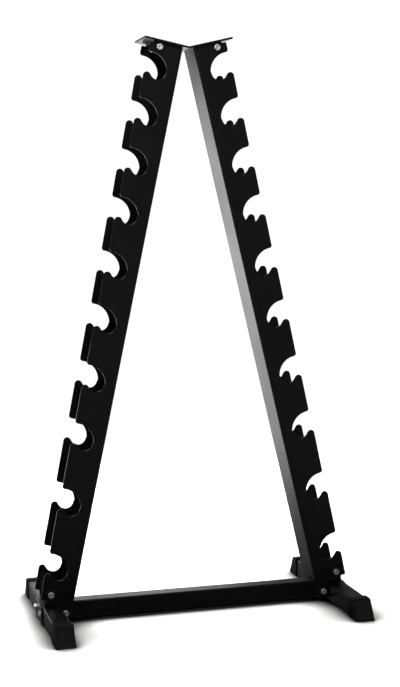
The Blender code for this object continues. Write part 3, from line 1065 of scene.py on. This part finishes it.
def add_world():
    """White where the eye looks past the rack, and a dim grey room for the light that falls on it."""
    room_strength = 0.11
    world = bpy.data.worlds.new("studio")
    bpy.context.scene.world = world
    world.use_nodes = True
    tree = world.node_tree
    tree.nodes.clear()
    rays = add_node(tree, "ShaderNodeLightPath")
    room = add_node(tree, "ShaderNodeBackground", {"Color": (1, 1, 1, 1), "Strength": room_strength})
    white = add_node(tree, "ShaderNodeBackground", {"Color": (1, 1, 1, 1), "Strength": WHITE})
    mix = add_node(tree, "ShaderNodeMixShader", {0: rays.outputs["Is Camera Ray"]})
    tree.links.new(room.outputs[0], mix.inputs[1])
    tree.links.new(white.outputs[0], mix.inputs[2])
    output = add_node(tree, "ShaderNodeOutputWorld")
    tree.links.new(mix.outputs[0], output.inputs["Surface"])


def add_area(name, place, aim, size, power):
    """A soft box at place that points at aim.  It lights the rack and isn't seen, even in reflections."""
    light = bpy.data.lights.new(name, "AREA")
    light.shape = "RECTANGLE"
    light.size, light.size_y = size
    light.energy = power
    lamp = add_object(name, light)
    lamp.location = place
    back = np.array(place) - np.array(aim)
    pitch = math.atan2(math.hypot(back[0], back[1]), back[2])
    lamp.rotation_euler = (pitch, 0.0, math.atan2(back[0], -back[1]))
    lamp.visible_camera = False
    lamp.visible_glossy = False


def add_lights():
    """One broad soft box behind and above, and three sheets for reflections.

    They are a pale wall behind, a brighter strip along its foot, and a bright card high in front.
    """
    add_area("overhead_soft_box", (-0.2, 2.5, 3.0), (0.0, 0.0, 0.0), (3.2, 2.0), 560.0)
    wall = [(-0.5, 6.0, 0.5), (1.8, 6.0, 0.5), (1.8, 6.0, 3.2), (-0.5, 6.0, 3.2)]
    emission_sheet("rear_wall", wall, 1.0)
    strip = [(-7.0, 6.0, 0.0), (1.8, 6.0, 0.0), (1.8, 6.0, 0.5), (-7.0, 6.0, 0.5)]
    emission_sheet("rear_wall_foot", strip, 1.75)
    card = [(-1.3, -1.3, 2.0), (-0.3, -1.3, 2.0), (-0.3, -0.9, 2.5), (-1.3, -0.9, 2.5)]
    emission_sheet("front_card", card, 21.0)


def add_camera():
    """A camera turned by yaw, pitch and roll.

    It looks along (sin yaw cos pitch, cos yaw cos pitch, sin pitch), and roll turns it round that line.
    """
    s = settings("stage")
    yaw, pitch, roll = s.camera_turn
    forward = np.array((math.sin(yaw) * math.cos(pitch), math.cos(yaw) * math.cos(pitch), math.sin(pitch)))
    right = np.array((math.cos(yaw), -math.sin(yaw), 0.0))
    down = np.cross(forward, right)
    matrix = np.identity(4)
    matrix[:3, 0] = math.cos(roll) * right + math.sin(roll) * down
    matrix[:3, 1] = math.sin(roll) * right - math.cos(roll) * down
    matrix[:3, 2] = -forward
    matrix[:3, 3] = s.camera_place
    camera = add_object("camera", bpy.data.cameras.new("camera"))
    camera.matrix_world = Matrix(matrix.tolist())
    camera.data.sensor_width = 36.0
    camera.data.lens = s.lens
    camera.data.clip_start = 0.05
    camera.data.clip_end = 200.0
    bpy.context.scene.camera = camera


def draw_stage():
    """The stage, with a view transform that keeps white and black as they are."""
    bpy.context.scene.view_settings.view_transform = "Standard"
    add_floor()
    add_world()
    add_lights()
    add_camera()


# ---- add-on


class RACK_OT_uprights(bpy.types.Operator):
    """Draw both notched uprights"""

    bl_idname = "rack.uprights"
    bl_label = "Uprights"

    def execute(self, context):
        draw_uprights()
        return {"FINISHED"}


class RACK_OT_plates(bpy.types.Operator):
    """Draw the top plate and the feet's side plates"""

    bl_idname = "rack.plates"
    bl_label = "Plates"

    def execute(self, context):
        draw_plates()
        return {"FINISHED"}


class RACK_OT_brackets(bpy.types.Operator):
    """Draw the brackets inside the channels"""

    bl_idname = "rack.brackets"
    bl_label = "Brackets"

    def execute(self, context):
        draw_brackets()
        return {"FINISHED"}


class RACK_OT_tubes(bpy.types.Operator):
    """Draw the crossbar and the feet"""

    bl_idname = "rack.tubes"
    bl_label = "Tubes"

    def execute(self, context):
        draw_tubes()
        return {"FINISHED"}


class RACK_OT_shoes(bpy.types.Operator):
    """Draw the four rubber shoes"""

    bl_idname = "rack.shoes"
    bl_label = "Shoes"

    def execute(self, context):
        draw_shoes()
        return {"FINISHED"}


class RACK_OT_hardware(bpy.types.Operator):
    """Draw the bolts and nuts"""

    bl_idname = "rack.hardware"
    bl_label = "Hardware"

    def execute(self, context):
        draw_bolts()
        draw_nuts()
        return {"FINISHED"}


class RACK_OT_stage(bpy.types.Operator):
    """Set up the floor, the light and the camera"""

    bl_idname = "rack.stage"
    bl_label = "Stage"

    def execute(self, context):
        draw_stage()
        return {"FINISHED"}


class RACK_PT_panel(bpy.types.Panel):
    """The rack's settings and the button for each group of pieces"""

    bl_label = "Dumbbell rack"
    bl_idname = "RACK_PT_panel"
    bl_space_type = "VIEW_3D"
    bl_region_type = "UI"
    bl_category = "Rack"

    def draw(self, context):
        for name in GROUPS:
            group = settings(name)
            box = self.layout.box()
            box.label(text=name.capitalize())
            for key in group.__annotations__:
                box.prop(group, key)
        for operator in OPERATORS:
            self.layout.operator(operator.bl_idname)


GROUPS = {
    "upright": RackUprightSettings,
    "foot": RackFootSettings,
    "hardware": RackHardwareSettings,
    "finish": RackFinishSettings,
    "stage": RackStageSettings,
}

OPERATORS = (
    RACK_OT_uprights,
    RACK_OT_plates,
    RACK_OT_brackets,
    RACK_OT_tubes,
    RACK_OT_shoes,
    RACK_OT_hardware,
    RACK_OT_stage,
)


def register():
    """Register every class, and give the scene its settings."""
    for cls in (*GROUPS.values(), *OPERATORS, RACK_PT_panel):
        bpy.utils.register_class(cls)
    for name, group in GROUPS.items():
        setattr(bpy.types.Scene, "rack_" + name, bpy.props.PointerProperty(type=group))


def unregister():
    """Undo register, in the opposite order."""
    for name in GROUPS:
        delattr(bpy.types.Scene, "rack_" + name)
    for cls in reversed((*GROUPS.values(), *OPERATORS, RACK_PT_panel)):
        bpy.utils.unregister_class(cls)


def main():
    """Draw the pieces and the stage in order."""
    register()
    bpy.ops.rack.uprights()
    bpy.ops.rack.plates()
    bpy.ops.rack.brackets()
    bpy.ops.rack.tubes()
    bpy.ops.rack.shoes()
    bpy.ops.rack.hardware()
    bpy.ops.rack.stage()


if __name__ == "__main__":
    main()
